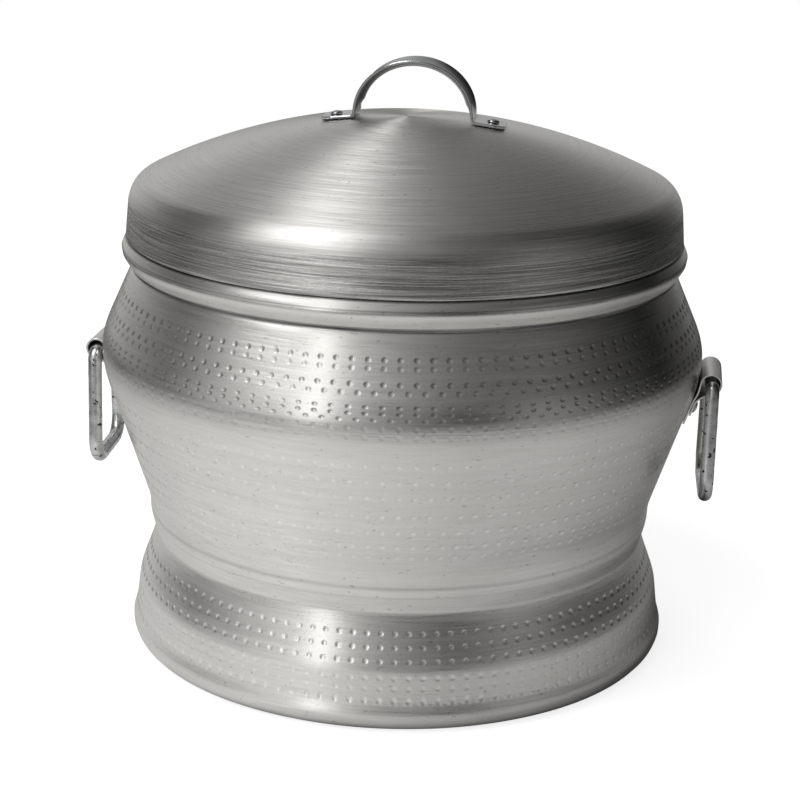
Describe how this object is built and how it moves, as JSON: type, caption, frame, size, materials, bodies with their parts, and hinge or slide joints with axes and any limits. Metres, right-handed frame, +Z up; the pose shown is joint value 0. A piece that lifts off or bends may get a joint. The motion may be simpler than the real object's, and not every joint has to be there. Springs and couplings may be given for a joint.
{
  "type": "rice steamer",
  "caption": "Stovetop rice steamer of hammered aluminium: waisted pot with a water foot, loose perforated plate, domed drop-in lid with a strap handle, and bails in rolled hinge straps.",
  "frame": {"origin": "middle of the pot's base, on the surface that it stands on", "axes": "+Z up along the pot's axis, +X towards the right-hand bail as seen from the front, front towards -Y"},
  "size_m": [0.4596, 0.4296, 0.4188],
  "materials": {
    "hammered_aluminium": "spun, satin, hammered with rows of small dents",
    "brushed_aluminium": "brushed in rings",
    "pressed_aluminium": "plain sheet, dull",
    "polished_aluminium": "polished",
    "galvanised_steel": "galvanised, dull, with small dark pits"
  },
  "bodies": {
    "pot": {"pot_body": "hammered_aluminium", "hinge_strap_right": "pressed_aluminium", "hinge_strap_left": "pressed_aluminium", "strap_rivet_right_front": "pressed_aluminium", "strap_rivet_right_back": "pressed_aluminium", "strap_rivet_left_front": "pressed_aluminium", "strap_rivet_left_back": "pressed_aluminium"},
    "bail_right": {"bail_right": "galvanised_steel"},
    "bail_left": {"bail_left": "galvanised_steel"},
    "steam_plate": {"steam_plate": "pressed_aluminium"},
    "lid": {"lid_shell": "brushed_aluminium", "lid_handle": "polished_aluminium", "lid_rivet_right": "polished_aluminium", "lid_rivet_left": "polished_aluminium"}
  },
  "joints": [
    {"name": "lid_lift", "type": "slide", "parent": "pot", "child": "lid", "axis": [0, 0, 1], "range_m": [0, 0.25]},
    {"name": "steam_plate_lift", "type": "slide", "parent": "pot", "child": "steam_plate", "axis": [0, 0, 1], "range_m": [0, 0.18]},
    {"name": "bail_right_swing", "type": "hinge", "parent": "pot", "child": "bail_right", "pos_m": [0.22208, 0, 0.20221], "axis": [0, -1, 0], "range_deg": [-18, 190]},
    {"name": "bail_left_swing", "type": "hinge", "parent": "pot", "child": "bail_left", "pos_m": [-0.22208, 0, 0.20221], "axis": [0, 1, 0], "range_deg": [-18, 190]}
  ]
}
